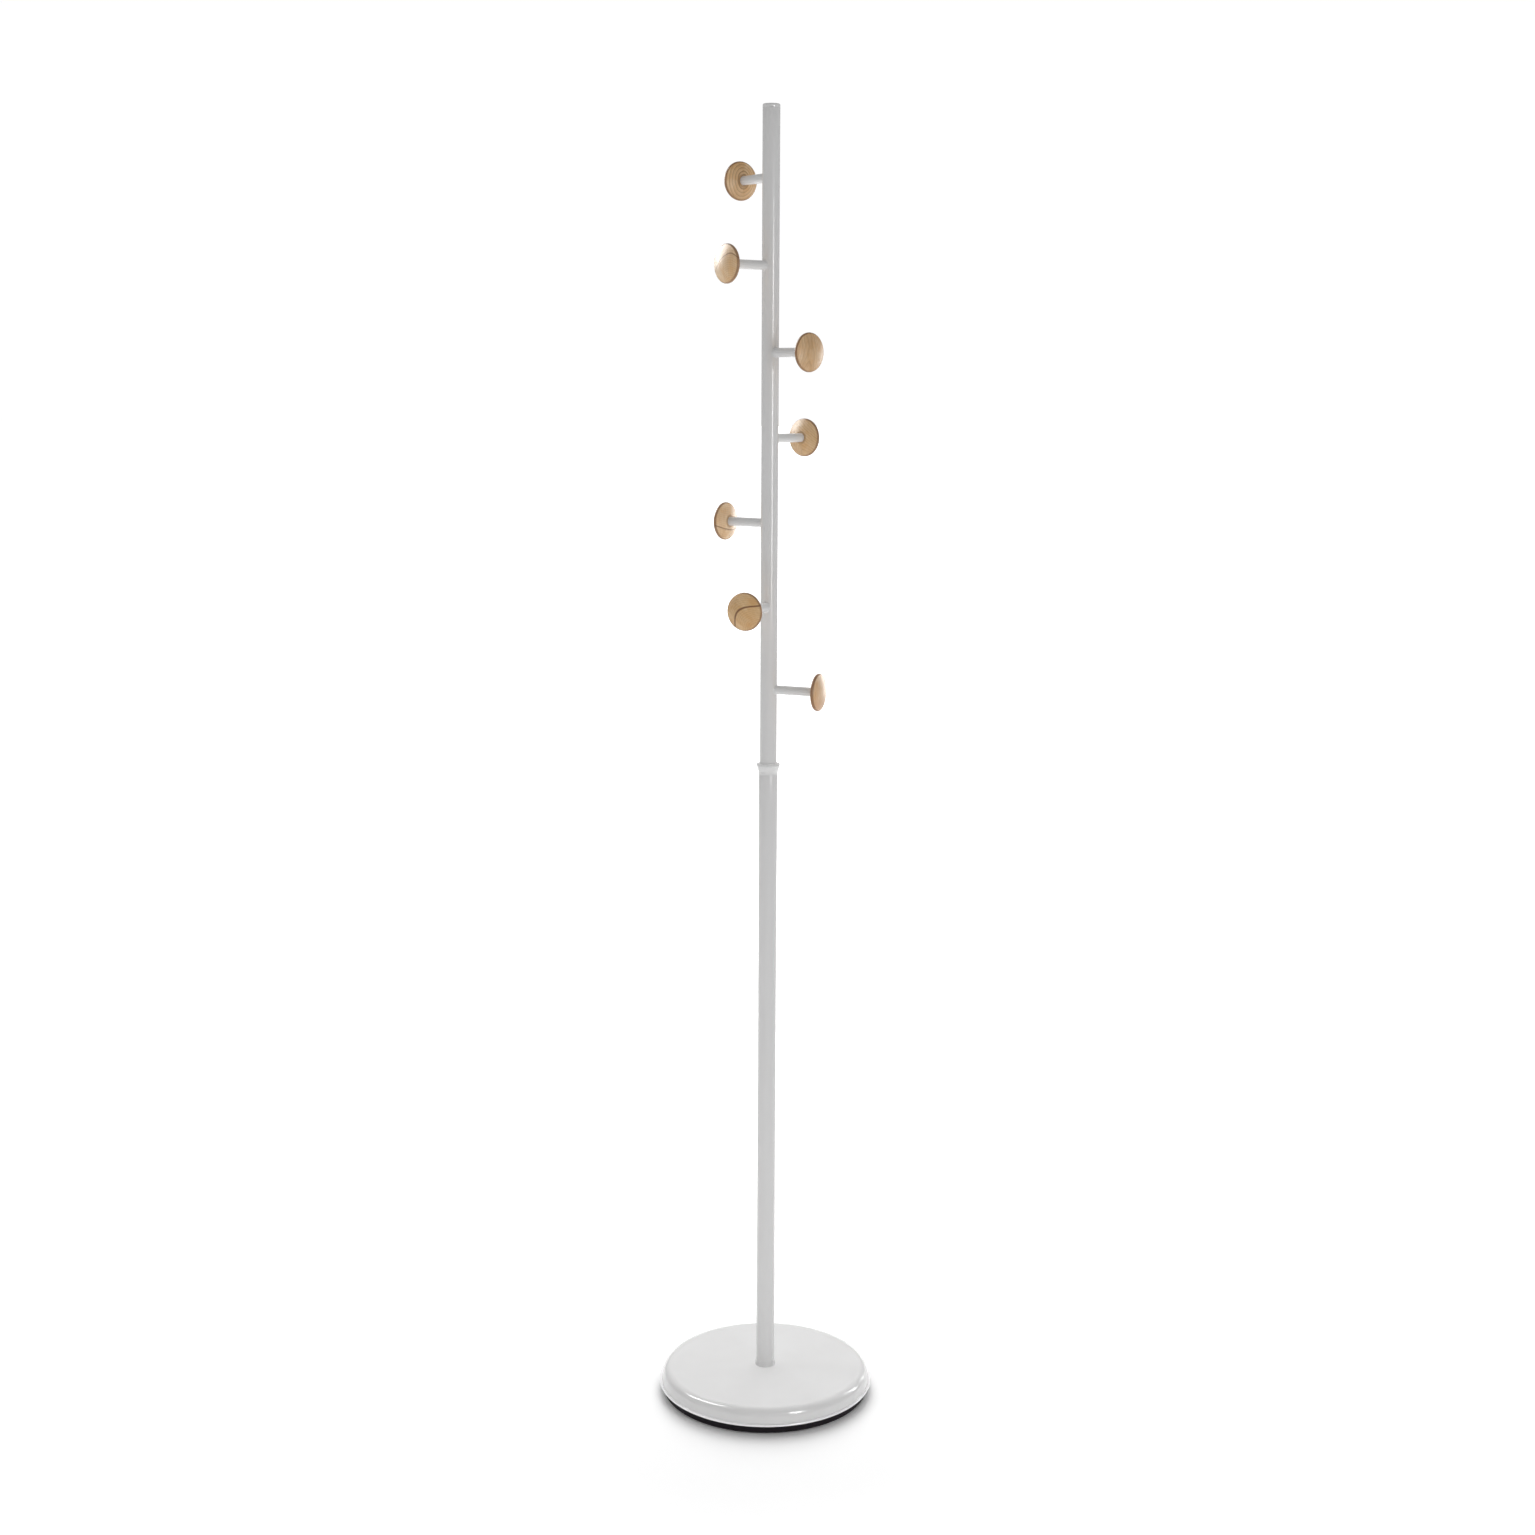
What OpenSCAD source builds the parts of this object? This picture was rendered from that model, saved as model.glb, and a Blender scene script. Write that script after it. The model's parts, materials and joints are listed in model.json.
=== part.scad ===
// Standing coat rack: a round weighted base, a two-piece steel mast and
// seven welded pegs that wind round it, each ending in a turned wooden knob.
// Millimetres, +Z up, origin on the floor at the middle of the base.

/* [Base] */
// Outside diameter at the lip of the base cover
base_d = 296; // [270:1:320]
// Height of the cover's flat top at its outer edge
base_h = 33.4; // [30:0.2:44]
// Rise of the cover's top from its outer edge to the mast
base_crown = 0.5; // [0:0.5:4]
// Radius of the cover's rounded shoulder
shoulder_r = 12.5; // [8:0.5:15]
// Angle of the cover's flank from vertical
flank_tilt = 12; // [5:1:30]
// Height of the cover's rolled lip above the floor
lip_h = 13; // [8:0.2:16]
// How far the lip stands out from the foot of the flank
lip_reach = 1.5; // [0.5:0.1:1.8]
// Sheet thickness of the cover
cover_t = 1; // [0.8:0.1:1.5]
// How far the tray's wall sits inside the lip
tray_inset = 5.5; // [4.5:0.5:8]
// Moulded thickness of the tray
tray_t = 3; // [2:0.5:4]

/* [Mast] */
// Total height of the rack
total_h = 1742; // [1720:1:1900]
// Outside diameter of the lower tube
lower_d = 25; // [24:0.5:26]
// Wall thickness of both mast tubes
tube_t = 1.2; // [1:0.1:1.5]
// Height of the lower tube's top end
joint_z = 884; // [700:1:890]
// Length of the upper tube inside the lower tube
joint_depth = 60; // [40:1:90]
// Diameter of the collar that covers the joint
collar_d = 31; // [28:0.5:36]

/* [Pegs] */
// Height of the top peg's axis
top_peg_z = 1651; // [1600:1:1680]
// Height from one peg to the next
peg_step = 110; // [80:1:112]
// Outside diameter of a peg
peg_d = 12; // [10:0.5:14]
// Distance from the mast's axis to the end of a peg
peg_reach = 63.5; // [50:0.5:90]

/* [Knobs] */
// Diameter of a knob
knob_d = 50; // [40:1:60]
// Thickness of a knob through its middle
knob_t = 15.5; // [14:0.5:20]
// Radius of the knob's rounded rim
knob_rim_r = 2.6; // [1:0.1:3]
// Diameter of the flat seat that meets the peg
knob_seat_d = 15; // [14:0.5:20]

/* [Hidden] */
// Bearing of each peg from +Y towards +X, from the top down, in degrees
PEG_BEARINGS = [-34, -129, 136, 40, -55, -154, 113];

$fn = 96;

// Colours
PAINT = [0.86, 0.86, 0.86];
BLACK = [0.08, 0.07, 0.08];
RUBBER = [0.15, 0.15, 0.15];
CEMENT = [0.6, 0.59, 0.56];
STEEL = [0.72, 0.72, 0.74];
BEECH = [0.8, 0.64, 0.45];

// Base
lip_r = base_d / 2;
bead_r = 1.4;
bead_x = lip_r - bead_r;
shoulder_z = base_h - shoulder_r;
flank_h = shoulder_z + shoulder_r * sin(flank_tilt) - lip_h - bead_r;
flank_foot_x = bead_x - lip_reach;
shoulder_x = flank_foot_x - flank_h * tan(flank_tilt) - shoulder_r * cos(flank_tilt);
cover_hole_r = 5.5;
crown_slope = base_crown / shoulder_x;
foot_z = base_h + base_crown;
tray_r = lip_r - tray_inset;
tray_z = 1;
tray_wall_t = 2.5;
tray_edge = 0.8;
tray_wall_top = lip_h + 2;
ring_in_r = 122;
ring_out_r = 134;
ring_t = 2;
well_r = 24;
well_top = 17;
weight_z = tray_z + tray_t;
weight_r = shoulder_x - 3;

// Clamp bolt, M10
m10_r = 5;
m10_head_r = 9.8;
m10_head_h = 6.4;
washer_t = 2;
washer_r = 15;
spring_t = 2.2;
spring_r = 9;
spring_gap = 1.2;
washer_z = well_top - tray_t - washer_t;
spring_z = washer_z - spring_t;
bolt_len = 40;
plug_h = 16;

// Mast
lower_r = lower_d / 2;
lower_in_r = lower_r - tube_t;
slip = 0.05;
upper_r = lower_in_r - slip;
upper_in_r = upper_r - tube_t;
upper_z = joint_z - joint_depth;
insert_h = 15;
stud_inset = 2;
sleeve_h = 7.5;
sleeve_foot_t = 1.3;
sleeve_top_t = 0.4;
collar_r = collar_d / 2;
collar_skirt_h = 7;
collar_top = joint_z + 7;
cap_h = 5;
cap_round = 1.8;
cap_plug_h = 8;

// Pegs and knobs, measured along the peg from the mast's axis
peg_r = peg_d / 2;
peg_t = 1;
m6_r = 3;
peg_insert_len = 12;
knob_stud_in = 10;
knob_stud_out = 9.5;
knob_hole = 10;
knob_r = knob_d / 2;
knob_back = 5.2;
knob_front = knob_t - knob_back - 2 * knob_rim_r;

// Point on a circle of radius r about [x, y], at angle a
function on_arc(x, y, r, a) = [x + r * cos(a), y + r * sin(a)];

// Height of the cover's outer face at radius r, on its crowned top
function top_z(r) = base_h + (shoulder_x - r) * crown_slope;

// Half section of one face of the cover, from its hole to the start of its flank
function cover_line(depth) = concat(
    [[cover_hole_r, top_z(cover_hole_r) - depth]],
    [for (s = [0 : 1 / 14 : 1])
        on_arc(shoulder_x, shoulder_z, shoulder_r - depth, 90 - s * (90 - flank_tilt))]);

// Rolled lip at the foot of the flank, from its outer face round to its inner face
function lip_bead() = concat(
    [[flank_foot_x, lip_h + bead_r]],
    [for (a = [90 : -15 : -90]) on_arc(bead_x, lip_h, bead_r, a)],
    [[flank_foot_x + 2 * bead_r * tan(flank_tilt) - cover_t / cos(flank_tilt), lip_h - bead_r]]);

function reversed(list) = [for (i = [len(list) - 1 : -1 : 0]) list[i]];

module ring(r_out, r_in, h, z = 0) {
    translate([0, 0, z]) difference() {
        cylinder(r = r_out, h = h);
        translate([0, 0, -1]) cylinder(r = r_in, h = h + 2);
    }
}

// ---- Base ----

module floor_ring() {
    color(RUBBER) ring(ring_out_r, ring_in_r, ring_t);
}

module base_tray() {
    color(BLACK) difference() {
        rotate_extrude() polygon([
            [well_r - tray_t, tray_z],
            [tray_r - tray_edge, tray_z],
            [tray_r, tray_z + tray_edge],
            [tray_r, tray_wall_top],
            [tray_r - tray_wall_t, tray_wall_top],
            [tray_r - tray_wall_t, weight_z],
            [well_r, weight_z],
            [well_r, well_top],
            [cover_hole_r, well_top],
            [cover_hole_r, well_top - tray_t],
            [well_r - tray_t, well_top - tray_t]]);
        ring(ring_out_r, ring_in_r, ring_t);
    }
}

module base_weight() {
    color(CEMENT) rotate_extrude() polygon([
        [well_r, weight_z],
        [weight_r, weight_z],
        [weight_r, top_z(weight_r) - cover_t],
        [cover_hole_r, top_z(cover_hole_r) - cover_t],
        [cover_hole_r, well_top],
        [well_r, well_top]]);
}

module base_cover() {
    color(PAINT) rotate_extrude()
        polygon(concat(cover_line(0), lip_bead(), reversed(cover_line(cover_t))));
}

module clamp_bolt() {
    color(STEEL) translate([0, 0, spring_z]) {
        cylinder(r = m10_r, h = bolt_len);
        translate([0, 0, -m10_head_h]) cylinder(r = m10_head_r, h = m10_head_h, $fn = 6);
    }
}

module spring_washer() {
    color(STEEL) difference() {
        ring(spring_r, m10_r, spring_t, spring_z);
        translate([0, -spring_gap / 2, spring_z - 1]) cube([spring_r + 1, spring_gap, spring_t + 2]);
    }
}

module clamp_washer() {
    color(STEEL) ring(washer_r, m10_r + 0.25, washer_t, washer_z);
}

// ---- Mast ----

module foot_plug() {
    color(STEEL) ring(lower_in_r, m10_r, plug_h, foot_z);
}

module foot_sleeve() {
    color(PAINT) rotate_extrude() polygon([
        [lower_r, foot_z],
        [lower_r + sleeve_foot_t - 0.3, foot_z],
        [lower_r + sleeve_foot_t, foot_z + 0.3],
        [lower_r + sleeve_top_t, foot_z + sleeve_h - sleeve_top_t],
        [lower_r, foot_z + sleeve_h]]);
}

module lower_tube() {
    color(PAINT) ring(lower_r, lower_in_r, joint_z - foot_z, foot_z);
}

module lower_insert() {
    color(STEEL) ring(lower_in_r, m10_r, insert_h, upper_z - insert_h);
}

module joint_stud() {
    color(STEEL) translate([0, 0, upper_z - insert_h + stud_inset])
        cylinder(r = m10_r, h = 2 * (insert_h - stud_inset));
}

module upper_insert() {
    color(STEEL) ring(upper_in_r, m10_r, insert_h, upper_z);
}

module joint_collar() {
    cone_z = collar_top - 3;
    skirt_z = joint_z - collar_skirt_h;
    color(PAINT) rotate_extrude() polygon([
        [lower_r, skirt_z],
        [lower_r + 0.5, skirt_z],
        [lower_r + 0.5, skirt_z + 3.5],
        [collar_r - 0.4, cone_z],
        [collar_r, cone_z + 0.4],
        [collar_r, collar_top - 0.7],
        [collar_r - 0.7, collar_top],
        [upper_r + 0.4, collar_top],
        [upper_r, collar_top - 0.4],
        [upper_r, joint_z],
        [lower_r, joint_z]]);
}

module upper_tube() {
    color(PAINT) ring(upper_r, upper_in_r, total_h - cap_h - upper_z, upper_z);
}

module top_cap() {
    cap_z = total_h - cap_h;
    color(PAINT) rotate_extrude() polygon(concat(
        [[0, cap_z - cap_plug_h],
         [upper_in_r, cap_z - cap_plug_h],
         [upper_in_r, cap_z],
         [upper_r, cap_z]],
        [for (a = [0 : 15 : 90])
            on_arc(upper_r - cap_round, total_h - cap_round - 0.4, cap_round, a)],
        [[upper_r / 2, total_h - 0.1], [0, total_h]]));
}

// ---- Pegs and knobs ----

// Places its children on peg i, with their X axis along the peg
module on_peg(i) {
    translate([0, 0, top_peg_z - (i - 1) * peg_step])
        rotate([0, 0, 90 - PEG_BEARINGS[i - 1]])
            children();
}

// A round bar along X from x to x + len
module bar(r, x, len) {
    translate([x, 0, 0]) rotate([0, 90, 0]) cylinder(r = r, h = len);
}

module peg_tube(i) {
    color(PAINT) on_peg(i) difference() {
        bar(peg_r, 1, peg_reach - 1);
        bar(peg_r - peg_t, 0, peg_reach + 1);
        cylinder(r = upper_r, h = 4 * peg_r, center = true);
    }
}

module peg_insert(i) {
    color(STEEL) on_peg(i) difference() {
        bar(peg_r - peg_t, peg_reach - peg_insert_len, peg_insert_len);
        bar(m6_r, peg_reach - peg_insert_len - 1, peg_insert_len + 2);
    }
}

module knob_stud(i) {
    color(STEEL) on_peg(i) bar(m6_r, peg_reach - knob_stud_in, knob_stud_in + knob_stud_out);
}

// Half section of a knob: radius across, thickness up from the seat
module knob_section() {
    rim_c = knob_r - knob_rim_r;
    rim_z = knob_back + knob_rim_r;
    seat_r = knob_seat_d / 2;
    dome_r = (pow(rim_c, 2) + pow(knob_front, 2)) / (2 * knob_front);
    dome_c = knob_t - dome_r;
    dome_a = asin(rim_c / dome_r);
    polygon(concat(
        [[0, 0], [seat_r, 0]],
        [for (s = [0.2 : 0.2 : 0.8])
            [seat_r + (rim_c - seat_r) * s, knob_back * (0.55 * s + 0.45 * pow(s, 2))]],
        [for (a = [-80 : 20 : 80]) on_arc(rim_c, rim_z, knob_rim_r, a)],
        [for (a = [dome_a : -dome_a / 8 : dome_a / 16])
            [dome_r * sin(a), dome_c + dome_r * cos(a)]],
        [[0, knob_t]]));
}

module knob(i) {
    color(BEECH) on_peg(i) difference() {
        translate([peg_reach, 0, 0]) rotate([0, 90, 0]) rotate_extrude() knob_section();
        bar(m6_r, peg_reach - 1, knob_hole + 1);
    }
}

floor_ring();
base_tray();
base_weight();
base_cover();
clamp_bolt();
spring_washer();
clamp_washer();
foot_plug();
foot_sleeve();
lower_tube();
lower_insert();
joint_stud();
upper_insert();
joint_collar();
upper_tube();
top_cap();
for (i = [1 : 7]) {
    peg_tube(i);
    peg_insert(i);
    knob_stud(i);
    knob(i);
}
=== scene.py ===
"""Looks of the standing coat rack: smooth painted steel, turned beech knobs and a black tray,
on a pale floor under soft studio light. Metres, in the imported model's own frame."""

import json
import math

import bmesh
import bpy
from mathutils import Matrix, Vector


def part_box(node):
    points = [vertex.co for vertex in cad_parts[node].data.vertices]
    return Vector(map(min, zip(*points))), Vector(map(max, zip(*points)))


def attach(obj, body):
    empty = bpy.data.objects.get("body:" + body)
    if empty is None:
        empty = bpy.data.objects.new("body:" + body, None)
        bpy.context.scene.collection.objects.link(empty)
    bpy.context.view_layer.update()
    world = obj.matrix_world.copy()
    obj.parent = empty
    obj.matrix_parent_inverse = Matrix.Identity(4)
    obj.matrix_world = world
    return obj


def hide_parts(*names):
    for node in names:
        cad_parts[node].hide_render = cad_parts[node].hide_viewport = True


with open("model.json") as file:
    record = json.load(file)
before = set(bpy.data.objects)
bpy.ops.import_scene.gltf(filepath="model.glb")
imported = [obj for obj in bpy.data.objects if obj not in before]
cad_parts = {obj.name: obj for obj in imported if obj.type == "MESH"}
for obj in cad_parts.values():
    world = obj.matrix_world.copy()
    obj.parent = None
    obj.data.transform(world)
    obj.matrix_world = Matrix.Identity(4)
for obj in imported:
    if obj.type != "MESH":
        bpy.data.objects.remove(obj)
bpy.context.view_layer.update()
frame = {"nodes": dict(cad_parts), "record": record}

MM = 0.001
BODY = "root"

# ---- Sizes, from the frame where it holds them ----

lip_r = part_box("base_cover")[1].x
foot_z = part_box("base_cover")[1].z
tray_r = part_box("base_tray")[1].x
tray_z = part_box("base_tray")[0].z
ring_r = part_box("floor_ring")[1].x
lower_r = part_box("lower_tube")[1].x
joint_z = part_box("lower_tube")[1].z
upper_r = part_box("upper_tube")[1].x
cap_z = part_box("upper_tube")[1].z
top_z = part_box("top_cap")[1].z
collar_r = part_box("joint_collar")[1].x
collar_low, collar_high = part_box("joint_collar")[0].z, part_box("joint_collar")[1].z
sleeve_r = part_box("foot_sleeve")[1].x
sleeve_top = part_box("foot_sleeve")[1].z
knob_r = (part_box("knob_1")[1].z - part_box("knob_1")[0].z) / 2
peg_r = (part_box("peg_tube_1")[1].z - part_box("peg_tube_1")[0].z) / 2

# Base: the cover's sheet, crown, shoulder, flank and rolled lip, the grip ring and the bolt's hole
SHEET = 1.0 * MM
CROWN = 0.5 * MM
SHOULDER_R = 12.5 * MM
FLANK_TILT = math.radians(12)
LIP_REACH = 1.5 * MM
LIP_Z = 13 * MM
BEAD_R = 1.4 * MM
RING_IN = 122 * MM
HOLE_R = 5.5 * MM

# Mast and pegs: the walls of their tubes, the end of a peg and the weld at its root
WALL = 1.2 * MM
PEG_WALL = 1 * MM
PEG_REACH = 63.5 * MM
WELD = 1.4 * MM

# Knobs: thickness, height of the back, radius of the rim and radius of the seat
KNOB_T = 15.5 * MM
KNOB_BACK = 5.2 * MM
KNOB_RIM = 2.6 * MM
KNOB_SEAT = 7.5 * MM


# ---- Mesh helpers ----


def arc(x, y, r, start, end, steps):
    """Points on a circle about (x, y), from one angle to another, in degrees."""
    angles = [math.radians(start + (end - start) * i / steps) for i in range(steps + 1)]
    return [(x + r * math.cos(a), y + r * math.sin(a)) for a in angles]


def straight(a, b, steps):
    """Points between a and b, with neither end."""
    return [tuple(p + (q - p) * i / steps for p, q in zip(a, b)) for i in range(1, steps)]


def finish_mesh(bm, name, material, sharp=40):
    """Makes a smooth object, whose edges are sharp where they turn by more than sharp degrees."""
    bmesh.ops.remove_doubles(bm, verts=bm.verts, dist=1e-6)
    bmesh.ops.recalc_face_normals(bm, faces=bm.faces)
    mesh = bpy.data.meshes.new(name)
    bm.to_mesh(mesh)
    bm.free()
    for face in mesh.polygons:
        face.use_smooth = True
    mesh.set_sharp_from_angle(angle=math.radians(sharp))
    mesh.materials.append(material)
    piece = bpy.data.objects.new(name, mesh)
    bpy.context.scene.collection.objects.link(piece)
    return piece


def lathe(name, profile, material, segments=128, sharp=40):
    """Turns a closed half section of (radius, height) points about Z."""
    bm = bmesh.new()
    turn = [2 * math.pi * i / segments for i in range(segments)]
    rings = []
    for r, z in profile:
        if r == 0:
            rings.append([bm.verts.new((0, 0, z))] * segments)
        else:
            rings.append([bm.verts.new((r * math.cos(a), r * math.sin(a), z)) for a in turn])
    for one, two in zip(rings, rings[1:] + rings[:1]):
        for i in range(segments):
            j = (i + 1) % segments
            corners = list(dict.fromkeys([one[i], one[j], two[j], two[i]]))
            if len(corners) > 2:
                bm.faces.new(corners)
    return finish_mesh(bm, name, material, sharp)


def place(piece, nodes):
    """Puts a piece on the one body, in place of its CAD nodes."""
    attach(piece, BODY)
    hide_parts(*nodes)
    return piece


# ---- Shader helpers ----

# The colour sockets of a Mix node
MIX_UNDER, MIX_OVER, MIX_RESULT = 6, 7, 2


def new_material(name):
    material = bpy.data.materials.new(name)
    material.use_nodes = True
    tree = material.node_tree
    return material, tree, tree.nodes["Principled BSDF"]


def add(tree, kind, inputs=None, **settings):
    """Adds a shader node, with links or values for its inputs."""
    made = tree.nodes.new(kind)
    for key, value in settings.items():
        setattr(made, key, value)
    for key, value in (inputs or {}).items():
        if isinstance(value, bpy.types.NodeSocket):
            tree.links.new(value, made.inputs[key])
        else:
            made.inputs[key].default_value = value
    return made


def maths(tree, operation, *values):
    return add(tree, "ShaderNodeMath", dict(enumerate(values)), operation=operation).outputs[0]


def ramp(tree, value, stops):
    """A colour ramp with (position, colour) stops."""
    made = add(tree, "ShaderNodeValToRGB", {"Fac": value})
    elements = made.color_ramp.elements
    while len(elements) < len(stops):
        elements.new(0.5)
    for element, (position, colour) in zip(elements, stops):
        element.position = position
        element.color = (*colour, 1)
    return made.outputs["Color"]


def graded(tree, shader, socket, value, stops):
    """Feeds a socket of the shader from a colour ramp."""
    tree.links.new(ramp(tree, value, stops), shader.inputs[socket])


def grey(v):
    return (v, v, v)


def mixed(tree, factor, under, over):
    """Lays one colour over another, as far as factor says."""
    colours = {"Factor": factor, MIX_UNDER: under, MIX_OVER: (*over, 1)}
    return add(tree, "ShaderNodeMix", colours, data_type="RGBA").outputs[MIX_RESULT]


def fade(tree, value, start, end, shape="SMOOTHSTEP"):
    """Rises from 0 at start to 1 at end, with a soft turn at both."""
    span = {"Value": value, "From Min": start, "From Max": end}
    return add(tree, "ShaderNodeMapRange", span, interpolation_type=shape).outputs["Result"]


def mapped(tree, coords, **changes):
    """Coordinates that are moved, turned or scaled: Location, Rotation or Scale."""
    return add(tree, "ShaderNodeMapping", {"Vector": coords, **changes}).outputs["Vector"]


def length_of(tree, vector):
    return add(tree, "ShaderNodeVectorMath", {0: vector}, operation="LENGTH").outputs["Value"]


def axes(tree, vector):
    """The X, Y and Z of a vector, by name."""
    return add(tree, "ShaderNodeSeparateXYZ", {0: vector}).outputs


def noise(tree, coords, scale, detail=2.0, roughness=0.5):
    settings = {"Vector": coords, "Scale": scale, "Detail": detail, "Roughness": roughness}
    return add(tree, "ShaderNodeTexNoise", settings).outputs["Fac"]


def bump(tree, shader, height, distance, strength):
    made = add(tree, "ShaderNodeBump", {"Height": height, "Distance": distance, "Strength": strength})
    tree.links.new(made.outputs["Normal"], shader.inputs["Normal"])


def object_coords(tree):
    return add(tree, "ShaderNodeTexCoord").outputs["Object"]


# ---- Materials ----

# white of the painted highlight along the cover's rolled lip
LIP_HIGHLIGHT_WHITE = (0.98, 0.97, 0.98)


def paint(name, low, high, roughness, edge_z=0.0):
    """Gloss powder coat: faint cloudiness, a fine orange peel and an uneven gloss. Below edge_z
    the colour turns whiter, a painted highlight along the rolled lip."""
    material, tree, shader = new_material(name)
    coords = object_coords(tree)
    cloud = noise(tree, coords, 14, 3)
    colour = ramp(tree, cloud, [(0.3, low), (0.7, high)])
    # painted highlight: below edge_z the colour is mixed towards white
    if edge_z:
        lip_highlight_mask = maths(tree, "LESS_THAN", axes(tree, coords)["Z"], edge_z)
        colour = mixed(tree, lip_highlight_mask, colour, LIP_HIGHLIGHT_WHITE)
    tree.links.new(colour, shader.inputs["Base Color"])
    gloss = noise(tree, coords, 55, 3)
    spread = [(0.3, grey(roughness * 0.9)), (0.7, grey(roughness * 1.12))]
    graded(tree, shader, "Roughness", gloss, spread)
    shader.inputs["Specular IOR Level"].default_value = 0.2
    shader.inputs["Coat Weight"].default_value = 0.7
    shader.inputs["Coat Roughness"].default_value = 0.13
    peel = noise(tree, coords, 500, 1)
    bump(tree, shader, peel, 0.012 * MM, 0.15)
    return material


def black_plastic(name):
    """Moulded tray: a fine grained surface, slightly uneven in tone."""
    material, tree, shader = new_material(name)
    coords = object_coords(tree)
    tone = noise(tree, coords, 40, 4)
    dark, light = (0.006, 0.004, 0.0062), (0.011, 0.008, 0.011)
    graded(tree, shader, "Base Color", tone, [(0.3, dark), (0.7, light)])
    grain = noise(tree, coords, 2600, 3)
    graded(tree, shader, "Roughness", grain, [(0.2, grey(0.42)), (0.8, grey(0.62))])
    shader.inputs["Specular IOR Level"].default_value = 0.2
    bump(tree, shader, grain, 0.12 * MM, 0.6)
    return material


def rubber(name):
    """Matt black rubber with a fine crumb."""
    material, tree, shader = new_material(name)
    coords = object_coords(tree)
    tone = noise(tree, coords, 500, 4)
    graded(tree, shader, "Base Color", tone, [(0.3, grey(0.018)), (0.7, grey(0.04))])
    shader.inputs["Roughness"].default_value = 0.85
    bump(tree, shader, tone, 0.2 * MM, 0.7)
    return material


def zinc_steel(name):
    """Bright zinc plate with faint turning marks and patches of duller passivation."""
    material, tree, shader = new_material(name)
    coords = object_coords(tree)
    patches = noise(tree, coords, 220, 4)
    graded(tree, shader, "Base Color", patches, [(0.3, (0.52, 0.53, 0.55)), (0.7, (0.7, 0.7, 0.71))])
    shader.inputs["Metallic"].default_value = 1.0
    marks = noise(tree, coords, 1800, 2)
    graded(tree, shader, "Roughness", marks, [(0.3, grey(0.25)), (0.7, grey(0.42))])
    bump(tree, shader, marks, 0.05 * MM, 0.4)
    return material


def cement(name):
    """Rough grey cement, blotched and pitted."""
    material, tree, shader = new_material(name)
    coords = object_coords(tree)
    tone = noise(tree, coords, 90, 6, 0.65)
    graded(tree, shader, "Base Color", tone, [(0.3, (0.36, 0.35, 0.33)), (0.7, (0.52, 0.51, 0.48))])
    shader.inputs["Roughness"].default_value = 0.9
    bump(tree, shader, noise(tree, coords, 700, 6, 0.7), 0.6 * MM, 0.8)
    return material


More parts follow.
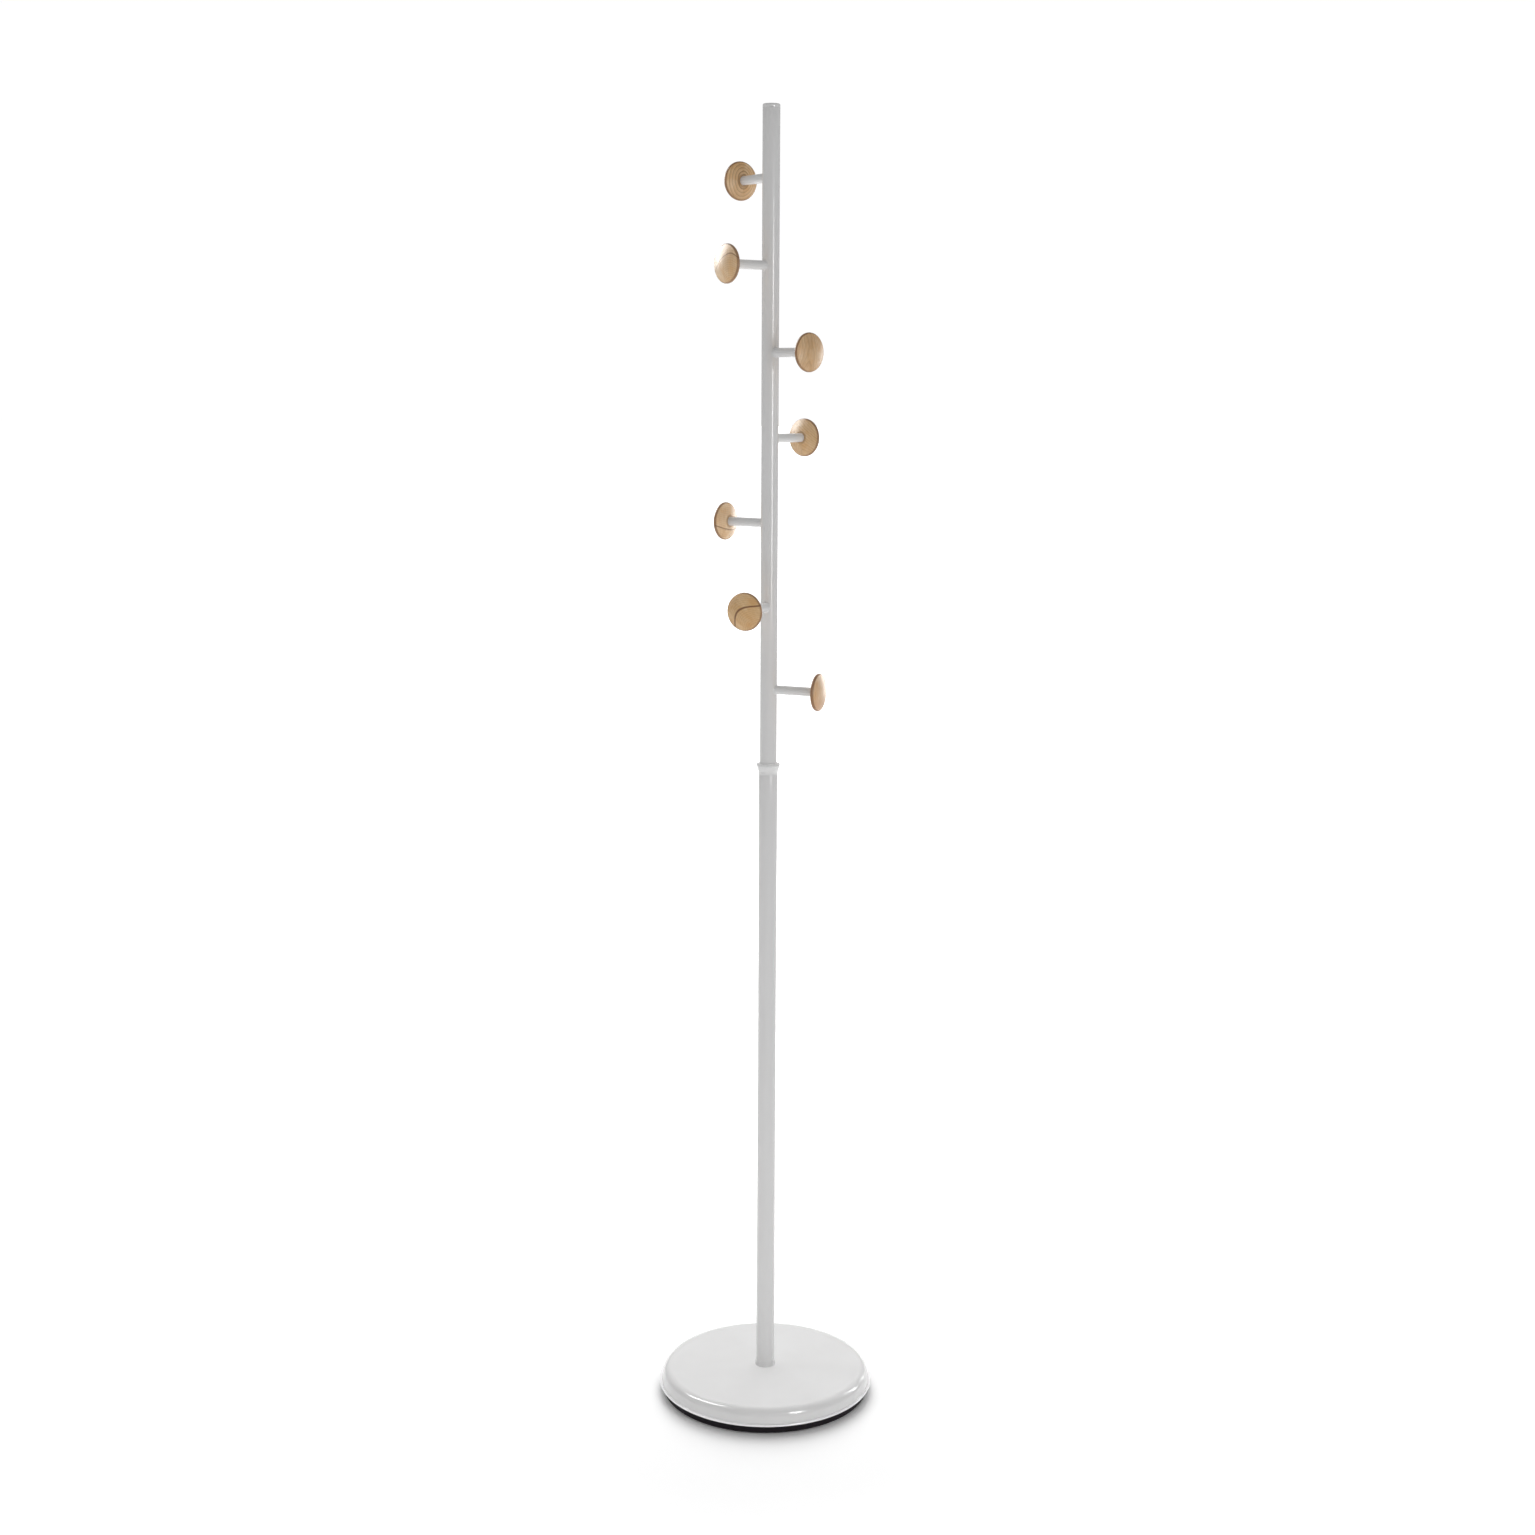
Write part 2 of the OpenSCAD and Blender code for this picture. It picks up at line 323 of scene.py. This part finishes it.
def beech(name, fibre, rings, fine, line, tone_and_sheen, low_shade):
    """Turned and varnished beech. fibre is the grain's direction across the face, in degrees.
    rings holds the growth layers' shape: their middle on the face, how much they close to circles,
    how much they lean to arches, and the roundness of their turn. fine is the strength of the
    narrow rings and the width of each, and line the place, depth and half width of one dark ring.
    The next to last argument tones the wood, and where it lifts the tone paler and whiter it
    paints a sheen; the last paints shade, darker towards the lower edge. Lengths are in millimetres."""
    material, tree, shader = new_material(name)
    middle, circle, arch, turn = rings
    fine_strength, fine_width = fine
    line_at, line_depth, line_half = line
    face = object_coords(tree)
    centred = mapped(tree, face, Location=(-middle[0] * MM, -middle[1] * MM, 0))
    turned = mapped(tree, centred, Rotation=(0, 0, math.radians(-fibre)))
    stretched = mapped(tree, turned, Scale=(0.09, 1, 1))

    # growth coordinate across the layers, with a slow wander along the grain
    span = length_of(tree, mapped(tree, turned, Scale=(circle, 1, 0.5)))
    bent = maths(tree, "SQRT", maths(tree, "ADD", maths(tree, "POWER", span, 2.0), (turn * MM) ** 2))
    leaning = maths(tree, "MULTIPLY", axes(tree, turned)["X"], arch)
    slow = maths(tree, "SUBTRACT", noise(tree, turned, 60, 2), 0.5)
    wander = maths(tree, "MULTIPLY", slow, 2.2 * MM)
    growth = maths(tree, "ADD", maths(tree, "ADD", bent, leaning), wander)

    # fine growth rings, and one strong dark line
    jitter = maths(tree, "MULTIPLY", noise(tree, stretched, 160, 2), 1.4 * MM)
    uneven = maths(tree, "ADD", growth, jitter)
    phase = maths(tree, "FRACT", maths(tree, "DIVIDE", uneven, fine_width * MM))
    swell = [(0.0, grey(0.0)), (0.6, grey(0.4)), (0.85, grey(1.0)), (1.0, grey(0.0))]
    narrow = ramp(tree, phase, swell)
    offset = maths(tree, "ABSOLUTE", maths(tree, "SUBTRACT", growth, line_at * MM))
    away = maths(tree, "DIVIDE", offset, line_half * MM)
    dark = ramp(tree, away, [(0.0, grey(1.0)), (0.45, grey(0.85)), (1.0, grey(0.0))])

    # streaks and pores along the grain
    streaks = noise(tree, stretched, 620, 4, 0.6)
    broad = noise(tree, stretched, 110, 3)
    patches = ramp(tree, noise(tree, turned, 75, 2), [(0.45, grey(0.0)), (0.68, grey(1.0))])
    flecks = add(tree, "ShaderNodeTexVoronoi", {"Vector": stretched, "Scale": 1500.0})
    pores = ramp(tree, flecks.outputs["Distance"], [(0.05, grey(1.0)), (0.16, grey(0.0))])

    # painted shade: a darker band on the turned rim, partly end grain taking the varnish darker
    # and partly shade where the rim turns from the light; a painted contact shadow round the seat;
    # and painted shade towards the lower edge
    flat = add(tree, "ShaderNodeVectorMath", {0: face, 1: (1, 1, 0)}, operation="MULTIPLY")
    out = length_of(tree, flat.outputs[0])
    at = axes(tree, face)
    # darker band on the rim: partly end grain, partly painted shade
    rim_grain_and_shade = fade(tree, out, 22.8 * MM, 24.4 * MM)
    # painted contact shadow: a dark ring on the back of the knob, round its seat
    near_peg = fade(tree, out, 9.5 * MM, 7.6 * MM)
    painted_seat_shadow = maths(tree, "MULTIPLY", near_peg, maths(tree, "LESS_THAN", at["Z"], 4 * MM))
    # painted shade: darker towards the knob's lower edge
    low = fade(tree, at["Y"], 0.0, -18 * MM)

    # the knob's tone, which on knobs 2, 5 and 7 is lifted paler and whiter as a painted sheen
    def toned_and_sheened(colour):
        return tuple(c * t for c, t in zip(colour, tone_and_sheen))

    brown = (0.2, 0.085, 0.033)
    layers = [
        (patches, 0.55, toned_and_sheened((0.68, 0.38, 0.145))),
        (narrow, fine_strength, brown),
        (pores, 0.25, brown),
        (low, low_shade, (0.6, 0.31, 0.14)),
        (dark, line_depth, brown),
        (painted_seat_shadow, 0.45, brown),
        (rim_grain_and_shade, 0.75, brown),
    ]
    broad_part = maths(tree, "MULTIPLY", broad, 0.6)
    tone = maths(tree, "ADD", broad_part, maths(tree, "MULTIPLY", streaks, 0.4))
    tones = [(0.35, toned_and_sheened((0.64, 0.41, 0.205))), (0.62, toned_and_sheened((0.81, 0.58, 0.345)))]
    colour = ramp(tree, tone, tones)
    for mask, amount, over in layers:
        colour = mixed(tree, maths(tree, "MULTIPLY", mask, amount), colour, over)
    tree.links.new(colour, shader.inputs["Base Color"])

    graded(tree, shader, "Roughness", streaks, [(0.3, grey(0.3)), (0.7, grey(0.42))])
    shader.inputs["Specular IOR Level"].default_value = 0.25
    shader.inputs["Coat Weight"].default_value = 0.55
    shader.inputs["Coat Roughness"].default_value = 0.42
    relief = maths(tree, "SUBTRACT", streaks, maths(tree, "MULTIPLY", pores, 0.6))
    bump(tree, shader, relief, 0.05 * MM, 0.4)
    return material


WHITE_TONES = ((0.703, 0.7, 0.698), (0.729, 0.727, 0.726))
WHITE = paint("white_paint", *WHITE_TONES, 0.22)
# the cover's paint, with the painted highlight along its lip
WHITE_COVER_WITH_HIGHLIGHT = paint("white_cover_lip_highlight", *WHITE_TONES, 0.22, LIP_Z + BEAD_R + 0.05 * MM)
WHITE_PLASTIC = paint("white_plastic", (0.722, 0.72, 0.717), (0.742, 0.742, 0.742), 0.28)
TRAY = black_plastic("black_plastic")
RUBBER = rubber("rubber")
ZINC = zinc_steel("zinc_steel")
BALLAST = cement("ballast")

# Each knob's wood, from the top down: the grain's direction, the shape of its growth layers
# (middle, circle, arch, turn), the strength and width of its fine rings, its dark line (place,
# depth, half width), its tone, lifted paler and whiter on knobs 2, 5 and 7 as a painted sheen,
# and the strength of the painted shade at its lower edge
NO_LINE = (60, 0.0, 1)
WOOD = [
    (90, ((0, 1), 0.8, 0.0, 2), (0.5, 3.6), (9, 0.35, 0.9), (1.04, 1.03, 1.0), 0.15),
    (90, ((11, 14), 0.0, 1.0, 9), (0.22, 2.8), (9, 0.7, 1.1), (1.09, 1.13, 1.2), 0.0),
    (87, ((-4, 0), 0.0, 0.1, 6), (0.28, 3.0), NO_LINE, (0.95, 0.94, 0.94), 0.1),
    (60, ((6, -4), 0.0, 0.4, 10), (0.28, 2.8), NO_LINE, (0.99, 0.99, 0.97), 0.1),
    (-90, ((-8, -11.6), 0.0, 1.0, 75), (0.16, 2.8), (75, 0.8, 1.1), (1.11, 1.15, 1.26), 0.0),
    (135, ((-15.2, 11), 0.0, 1.0, 11), (0.24, 3.0), (0, 1.0, 1.8), (1.0, 0.97, 0.88), 0.1),
    (85, ((2, 0), 0.0, 0.2, 8), (0.22, 2.8), NO_LINE, (1.03, 1.04, 1.14), 0.6),
]


# ---- Base ----


def cover_section():
    """Outline of the pressed cover: crowned top, round shoulder, straight flank, rolled lip."""
    bead_x = lip_r - BEAD_R
    edge_z = foot_z - CROWN
    shoulder_z = edge_z - SHOULDER_R
    slope = math.tan(FLANK_TILT)
    flank_h = shoulder_z + SHOULDER_R * math.sin(FLANK_TILT) - LIP_Z - BEAD_R
    flank_x = bead_x - LIP_REACH
    shoulder_x = flank_x - flank_h * slope - SHOULDER_R * math.cos(FLANK_TILT)
    inner_x = flank_x + 2 * BEAD_R * slope - SHEET / math.cos(FLANK_TILT)
    tuck = 0.15 * MM

    def face(depth):
        shoulder = arc(shoulder_x, shoulder_z, SHOULDER_R - depth, 90, math.degrees(FLANK_TILT), 20)
        start = (HOLE_R, foot_z - depth)
        return [start] + straight(start, shoulder[0], 24) + shoulder

    outer, inner = face(0), face(SHEET)
    foot, inner_foot = (flank_x - tuck, LIP_Z + BEAD_R), (inner_x, LIP_Z - BEAD_R)
    bead = [foot] + arc(bead_x, LIP_Z, BEAD_R, 90, -90, 16) + [inner_foot]
    flank = straight(outer[-1], foot, 8)
    inner_flank = straight(inner_foot, inner[-1], 8)
    return outer + flank + bead + inner_flank + inner[::-1]


def tray_section():
    """Outline of the moulded tray: its wall, a groove for the grip ring and a well for the bolt."""
    floor_t, wall_t, edge, chamfer = 3 * MM, 2.5 * MM, 0.8 * MM, 0.2 * MM
    well_r, well_top = 24 * MM, 17 * MM
    groove_z = tray_z + 1 * MM
    wall_top = LIP_Z + 2 * MM
    return [
        (well_r - floor_t, tray_z),
        (RING_IN, tray_z), (RING_IN, groove_z), (ring_r, groove_z), (ring_r, tray_z),
        *arc(tray_r - edge, tray_z + edge, edge, -90, 0, 6),
        (tray_r, wall_top - chamfer), (tray_r - chamfer, wall_top),
        (tray_r - wall_t, wall_top), (tray_r - wall_t, tray_z + floor_t),
        (well_r, tray_z + floor_t), (well_r, well_top),
        (HOLE_R, well_top), (HOLE_R, well_top - floor_t), (well_r - floor_t, well_top - floor_t),
    ]


def grip_section():
    """Outline of the rubber ring, with its lower edges rounded."""
    edge, top = 0.4 * MM, 2 * MM
    return [
        *arc(RING_IN + edge, edge, edge, 180, 270, 4),
        *arc(ring_r - edge, edge, edge, -90, 0, 4),
        (ring_r, top), (RING_IN, top),
    ]


def make_base():
    """Makes the base and returns its pieces."""
    cover = lathe("cover_shell", cover_section(), WHITE_COVER_WITH_HIGHLIGHT, segments=192)
    tray = lathe("tray_shell", tray_section(), TRAY, segments=192, sharp=30)
    grip = lathe("grip_ring", grip_section(), RUBBER, segments=192)
    return [
        place(cover, ["base_cover"]),
        place(tray, ["base_tray"]),
        place(grip, ["floor_ring"]),
    ]


# ---- Mast ----


def tube_section(r, low, high):
    """Outline of a mast tube's wall, with its outer edges rounded."""
    inner, edge = r - WALL, 0.25 * MM
    return [
        (inner, low), *arc(r - edge, low + edge, edge, -90, 0, 3),
        *straight((r, low + edge), (r, high - edge), 12),
        *arc(r - edge, high - edge, edge, 0, 90, 3), (inner, high),
    ]


def sleeve_section():
    """Outline of the sleeve at the mast's foot: a small flare below and a rounded top."""
    edge, top_edge = 0.3 * MM, 0.35 * MM
    flare_r, flare_top = lower_r + 0.75 * MM, foot_z + 4 * MM
    return [
        (lower_r, foot_z), (sleeve_r - edge, foot_z),
        *arc(sleeve_r - edge, foot_z + edge, edge, -60, 0, 3),
        (flare_r, flare_top),
        *arc(lower_r + 0.05 * MM, sleeve_top - top_edge, top_edge, 10, 88, 5),
        (lower_r, sleeve_top),
    ]


def collar_section():
    """Outline of the collar: a short skirt round the lower tube, a cone and a rounded flange."""
    skirt_r, skirt_h, skirt_edge = lower_r + 0.5 * MM, 3.3 * MM, 0.2 * MM
    round_r, mouth_r = 0.8 * MM, 0.4 * MM
    flange_low = collar_high - 2.6 * MM
    return [
        (lower_r, collar_low),
        *arc(skirt_r - skirt_edge, collar_low + skirt_edge, skirt_edge, -90, 0, 3),
        (skirt_r, collar_low + skirt_h), (skirt_r + 0.2 * MM, collar_low + skirt_h + 0.3 * MM),
        *arc(collar_r - round_r, flange_low, round_r, -50, 0, 5),
        *arc(collar_r - round_r, collar_high - round_r, round_r, 0, 90, 6),
        *arc(upper_r + mouth_r, collar_high - mouth_r, mouth_r, 90, 180, 4),
        (upper_r, joint_z), (lower_r, joint_z),
    ]


def cap_section():
    """Outline of the end cap: a plug in the tube, and a rounded head with an almost flat top."""
    plug_r, plug_h, plug_edge = upper_r - WALL, 8 * MM, 0.4 * MM
    foot_edge, round_r, crown = 0.2 * MM, 1.8 * MM, 0.4 * MM
    return [
        (0, cap_z - plug_h), (plug_r - plug_edge, cap_z - plug_h),
        (plug_r, cap_z - plug_h + plug_edge), (plug_r, cap_z),
        *arc(upper_r - foot_edge, cap_z + foot_edge, foot_edge, -90, 0, 3),
        *arc(upper_r - round_r, top_z - round_r - crown, round_r, 0, 84, 10),
        (upper_r * 0.6, top_z - 0.18 * MM), (upper_r * 0.3, top_z - 0.05 * MM), (0, top_z),
    ]


def make_mast():
    lower = tube_section(lower_r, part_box("lower_tube")[0].z, joint_z)
    upper = tube_section(upper_r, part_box("upper_tube")[0].z, cap_z)
    place(lathe("mast_lower", lower, WHITE), ["lower_tube"])
    place(lathe("mast_upper", upper, WHITE), ["upper_tube"])
    place(lathe("foot_ferrule", sleeve_section(), WHITE), ["foot_sleeve"])
    place(lathe("collar_ring", collar_section(), WHITE_PLASTIC), ["joint_collar"])
    place(lathe("mast_cap", cap_section(), WHITE_PLASTIC), ["top_cap"])


# ---- Pegs and knobs ----


def peg_frame(i):
    """Where peg i leaves the mast: X along the peg, Y level and Z up. Its mount lies on top of it."""
    mount = next(m for m in frame["record"]["mounts"] if m["name"] == f"coat_peg_{i}")
    x, y, z = mount["pos_m"]
    along = Vector((x, y, 0)).normalized()
    side = Vector((0, 0, 1)).cross(along)
    rotation = Matrix((along, side, Vector((0, 0, 1)))).transposed().to_4x4()
    return Matrix.Translation((0, 0, z - peg_r)) @ rotation


def peg_mesh(name):
    """A tube along X, saddle-cut to the mast, with a small fillet of weld round the cut."""
    bm = bmesh.new()
    segments = 72
    bore = peg_r - PEG_WALL
    edge = 0.3 * MM
    rings = []

    def ring(radius, reach):
        """Adds a ring of points, whose distance from the mast's axis is reach of their own y."""
        made = []
        for k in range(segments):
            a = 2 * math.pi * k / segments
            y, z = radius * math.cos(a), radius * math.sin(a)
            made.append(bm.verts.new((reach(y), y, z)))
        rings.append(made)

    def saddle(y):
        return math.sqrt(upper_r ** 2 - y ** 2)

    ring(bore, saddle)
    for out, lift in arc(WELD, WELD, WELD, 270, 180, 5):
        ring(peg_r + out, lambda y, lift=lift: saddle(y) + lift)
    for x, _ in straight((upper_r + WELD, 0), (PEG_REACH, 0), 4):
        ring(peg_r, lambda y, x=x: x)
    for radius, x in arc(peg_r - edge, PEG_REACH - edge, edge, 0, 90, 3):
        ring(radius, lambda y, x=x: x)
    ring(bore, lambda y: PEG_REACH)
    for one, two in zip(rings, rings[1:] + rings[:1]):
        for k in range(segments):
            j = (k + 1) % segments
            bm.faces.new((one[k], one[j], two[j], two[k]))
    return finish_mesh(bm, name, WHITE, sharp=35)


def knob_section():
    """Outline of a knob, in radius and height above its seat: the hole for its stud, the curved
    back, the rounded rim and the domed face."""
    rim_x, rim_z = knob_r - KNOB_RIM, KNOB_BACK + KNOB_RIM
    rise = KNOB_T - KNOB_BACK - 2 * KNOB_RIM
    dome_r = (rim_x ** 2 + rise ** 2) / (2 * rise)
    dome_edge = math.asin(rim_x / dome_r)
    hole_r, hole_depth = 3 * MM, 10 * MM
    back_steps, dome_steps = 17, 24
    back = []
    for i in range(back_steps):
        s = i / back_steps
        back.append((KNOB_SEAT + (rim_x - KNOB_SEAT) * s, KNOB_BACK * (0.55 * s + 0.45 * s * s)))
    dome = []
    for i in range(1, dome_steps + 1):
        a = dome_edge * (1 - i / dome_steps)
        dome.append((dome_r * math.sin(a), KNOB_T - dome_r + dome_r * math.cos(a)))
    return [
        (0, hole_depth), (hole_r, hole_depth), (hole_r, 0),
        *back, *arc(rim_x, rim_z, KNOB_RIM, -72, 84, 10), *dome,
    ]


def make_pegs():
    """Makes the pegs and knobs, and returns the knobs."""
    section = knob_section()
    outward = Matrix.Rotation(math.radians(90), 4, "Y")
    upright = Matrix.Rotation(math.radians(90), 4, "Z")
    knobs = []
    for i, wood in enumerate(WOOD, start=1):
        at = peg_frame(i)
        peg = peg_mesh(f"peg_{i}")
        peg.matrix_world = at
        place(peg, [f"peg_tube_{i}"])

        knob = lathe(f"wood_knob_{i}", section, beech(f"beech_{i}", *wood), segments=96, sharp=50)
        knob.matrix_world = at @ Matrix.Translation((PEG_REACH, 0, 0)) @ outward @ upright
        place(knob, [f"knob_{i}"])
        knobs.append(knob)
    return knobs


def dress_hidden_nodes():
    """Gives the ballast and the fasteners, which stay CAD nodes, their own finish."""
    finishes = {"ballast": BALLAST, "zinc_steel": ZINC}
    for entry in frame["record"]["subparts"]:
        node = frame["nodes"].get(entry["node"])
        if node is None or entry["material_slot"] not in finishes:
            continue
        for slot in node.material_slots:
            slot.material = finishes[entry["material_slot"]]


# ---- Studio ----

CAMERA_AT = (-0.0009, -2.8854, 1.4013)
CAMERA_PITCH = 0.17698
CAMERA_ROLL = 0.0050
LENS = 51.353

# The point on the mast that the light strips face
STRIPS_FACE = Vector((0, 0, 0.6))


def make_camera():
    data = bpy.data.cameras.new("camera")
    data.sensor_width = 36
    data.lens = LENS
    data.clip_end = 100
    camera = bpy.data.objects.new("camera", data)
    bpy.context.scene.collection.objects.link(camera)
    look = Matrix.Rotation(math.pi / 2 - CAMERA_PITCH, 4, "X")
    camera.matrix_world = Matrix.Translation(CAMERA_AT) @ look @ Matrix.Rotation(CAMERA_ROLL, 4, "Z")
    bpy.context.scene.camera = camera


def group(name, members):
    """A collection for the lights to refer to, outside the scene's own tree."""
    made = bpy.data.collections.new(name)
    for member in members:
        made.objects.link(member)
    return made


def area_light(name, placed, width, height, radiance, receivers=None):
    """A soft rectangular light that the camera doesn't see. It lights the receivers only, where
    they are given."""
    data = bpy.data.lights.new(name, "AREA")
    data.shape = "RECTANGLE"
    data.size, data.size_y = width, height
    data.energy = radiance * math.pi * width * height
    light = bpy.data.objects.new(name, data)
    light.matrix_world = placed
    light.visible_camera = False
    if receivers:
        light.light_linking.receiver_collection = receivers
    bpy.context.scene.collection.objects.link(light)
    return light


def softbox(name, azimuth, distance, low, high, width, radiance, mirrored=True, receivers=None):
    """An upright light that faces the mast. Azimuth is to the right of the camera, in degrees.
    Where it isn't mirrored, it leaves no reflection in gloss paint."""
    a = math.radians(azimuth)
    outward = Vector((math.sin(a), -math.cos(a), 0)) * distance
    middle = outward + Vector((0, 0, (low + high) / 2))
    aim = (-outward).to_track_quat("-Z", "Y").to_matrix().to_4x4()
    placed = Matrix.Translation(middle) @ aim
    light = area_light(name, placed, width, high - low, radiance, receivers)
    light.visible_glossy = mirrored


def panel(name, middle, length, width, radiance):
    """A level light along X that shines down and leaves no reflection in gloss paint."""
    light = area_light(name, Matrix.Translation(middle), length, width, radiance)
    light.visible_glossy = False
    return light


def strip(name, start, end, width, radiance, receivers=None):
    """A light from start to end that only shows as a reflection."""
    start, end = Vector(start), Vector(end)
    middle = (start + end) / 2
    along = (end - start).normalized()
    out = middle - STRIPS_FACE
    out = (out - out.dot(along) * along).normalized()
    rotation = Matrix((along, out.cross(along), out)).transposed().to_4x4()
    placed = Matrix.Translation(middle) @ rotation
    light = area_light(name, placed, (end - start).length, width, radiance, receivers)
    light.visible_diffuse = False


def back_light(base):
    """A wide soft sun from behind. Only the base casts its shadow, which lies in front of it."""
    elevation = math.radians(30)
    data = bpy.data.lights.new("back", "SUN")
    data.angle = math.radians(32)
    data.energy = 1.52
    light = bpy.data.objects.new("back", data)
    to_sun = Vector((0, 1, math.tan(elevation)))
    light.matrix_world = to_sun.to_track_quat("Z", "Y").to_matrix().to_4x4()
    light.visible_glossy = False
    light.light_linking.blocker_collection = base
    bpy.context.scene.collection.objects.link(light)


def make_lights(knobs, rack, base):
    """Lights the studio. Knobs, rack and base are the collections that some lights are kept to."""
    softbox("key", azimuth=36, distance=2.2, low=0.88, high=1.76, width=0.62, radiance=2.8)
    softbox("right", azimuth=106, distance=1.6, low=0.5, high=1.5, width=0.6, radiance=0.5,
            mirrored=False)
    panel("left", (-2.2, 0.35, 2.2), length=2.4, width=0.35, radiance=2.85)
    above = panel("overhead_back", (0, 1.8, 2.2), length=3.0, width=1.6, radiance=3.4)
    above.light_linking.blocker_collection = base
    softbox("low_fill", azimuth=0, distance=1.2, low=0.03, high=0.45, width=1.6, radiance=0.95,
            mirrored=False, receivers=rack)

    # strips that draw the bright line down the mast and the bright arcs on the base's shoulder
    strip("strip_key", (1.29, -1.78, 0.88), (1.29, -1.78, 1.76), width=0.42, radiance=8.0)
    strip("strip_left", (-1.9, 0.56, 1.52), (-1.02, 0.01, 2.31), width=0.36, radiance=20, receivers=base)
    strip("strip_mid", (0.85, -1.49, 1.26), (1.19, -1.33, 1.15), width=0.42, radiance=14, receivers=base)
    strip("strip_right", (1.34, 0.54, 1.03), (1.6, 0.75, 0.34), width=0.18, radiance=14, receivers=base)
    strip("strip_back", (1.16, 1.09, 0.5), (1.14, 1.21, 0.05), width=0.15, radiance=4, receivers=base)

    # two wide windows that only the varnish of the knobs picks up
    strip("window_left", (-1.75, 0.35, 2.1), (-0.95, 1.2, 2.1), width=1.4, radiance=10.0, receivers=knobs)
    strip("window_right", (1.85, 1.2, 1.1), (0.8, 2.0, 1.1), width=1.1, radiance=3.6, receivers=knobs)

    back_light(base)


def make_world():
    """A white room to the camera, and a softer grey one to the light that it gives."""
    world = bpy.data.worlds.new("studio")
    bpy.context.scene.world = world
    world.use_nodes = True
    tree = world.node_tree
    tree.nodes.clear()
    seen = add(tree, "ShaderNodeBackground", {"Color": (1, 1, 1, 1), "Strength": 1.02})
    given = add(tree, "ShaderNodeBackground", {"Color": (1, 1, 1, 1), "Strength": 0.404})
    path = add(tree, "ShaderNodeLightPath")
    mix = add(tree, "ShaderNodeMixShader", {0: path.outputs["Is Camera Ray"]})
    tree.links.new(given.outputs[0], mix.inputs[1])
    tree.links.new(seen.outputs[0], mix.inputs[2])
    out = add(tree, "ShaderNodeOutputWorld")
    tree.links.new(mix.outputs[0], out.inputs["Surface"])


def make_floor():
    """A plain matt white studio floor, which runs into the white of the room away from the rack."""
    material, tree, shader = new_material("floor_white")
    coords = object_coords(tree)
    tone = noise(tree, coords, 3, 2)
    graded(tree, shader, "Base Color", tone, [(0.3, grey(0.965)), (0.7, grey(0.98))])
    shader.inputs["Roughness"].default_value = 0.9
    shader.inputs["Specular IOR Level"].default_value = 0.0
    far = fade(tree, length_of(tree, coords), 0.18, 1.2, "SMOOTHERSTEP")
    seen = add(tree, "ShaderNodeLightPath").outputs["Is Camera Ray"]
    tree.links.new(maths(tree, "MULTIPLY", far, seen), shader.inputs["Emission Strength"])
    shader.inputs["Emission Color"].default_value = (1, 1, 1, 1)
    bm = bmesh.new()
    bmesh.ops.create_grid(bm, x_segments=8, y_segments=8, size=60)
    floor = finish_mesh(bm, "floor", material)


make_camera()
make_world()
make_floor()
base_pieces = make_base()
make_mast()
knob_pieces = make_pegs()
dress_hidden_nodes()
rack_pieces = [o for o in bpy.context.scene.objects if o.type == "MESH" and o.name != "floor"]
make_lights(group("knobs", knob_pieces), group("rack", rack_pieces), group("base", base_pieces))
bpy.context.scene.view_settings.view_transform = "Standard"
